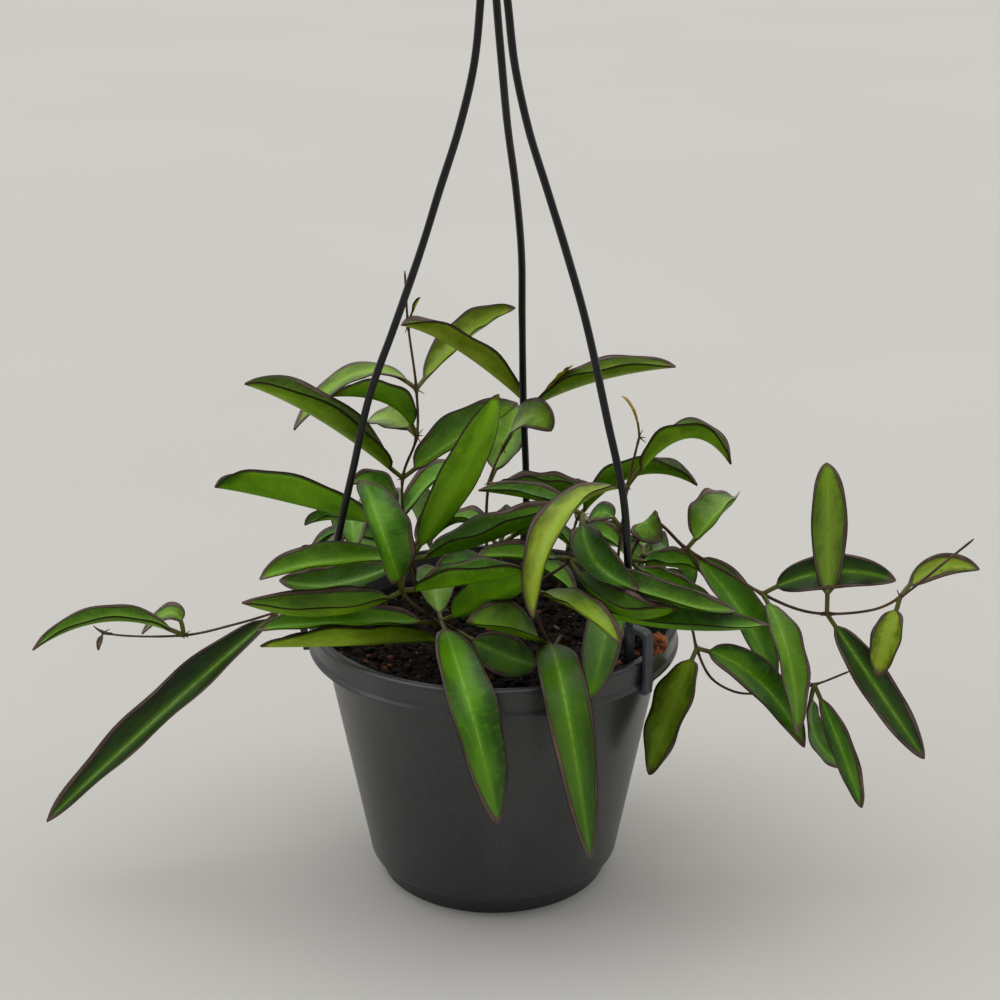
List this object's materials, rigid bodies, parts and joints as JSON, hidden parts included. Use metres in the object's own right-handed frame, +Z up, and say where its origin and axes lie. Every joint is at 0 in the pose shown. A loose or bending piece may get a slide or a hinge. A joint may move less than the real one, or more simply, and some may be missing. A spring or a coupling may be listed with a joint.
{
  "type": "potted hanging plant",
  "caption": "Trailing foliage plant with long, channelled, dark-edged leaves in a round plastic hanging pot with a clip-on hanger and hook.",
  "frame": {"origin": "centre of the pot's underside", "axes": "+Z up through the hanger's hook, -Y towards the front as pictured, +X to the right"},
  "size_m": [0.377, 0.219, 0.4211],
  "materials": {
    "pot": "dark grey, satin, dusty",
    "soil": "moist crumbly potting mix",
    "bark": "rough bark",
    "hanger": "near black, satin",
    "foliage": "waxy, semi-gloss"
  },
  "bodies": {
    "root": {"pot": "pot", "soil": "soil", "bark_chip": "bark", "hanger_head": "hanger", "hanger_leg_left": "hanger", "hanger_leg_right": "hanger", "hanger_leg_back": "hanger", "vine_tall_left": "foliage", "vine_left_crown": "foliage", "vine_front_crown": "foliage", "vine_right_crown": "foliage", "vine_tall_right": "foliage", "vine_back_centre": "foliage", "vine_far_left": "foliage", "vine_far_right": "foliage", "vine_low_right": "foliage", "vine_back_left": "foliage", "vine_back_right": "foliage", "vine_back_middle": "foliage", "vine_side_left": "foliage", "vine_side_right": "foliage"}
  },
  "joints": []
}
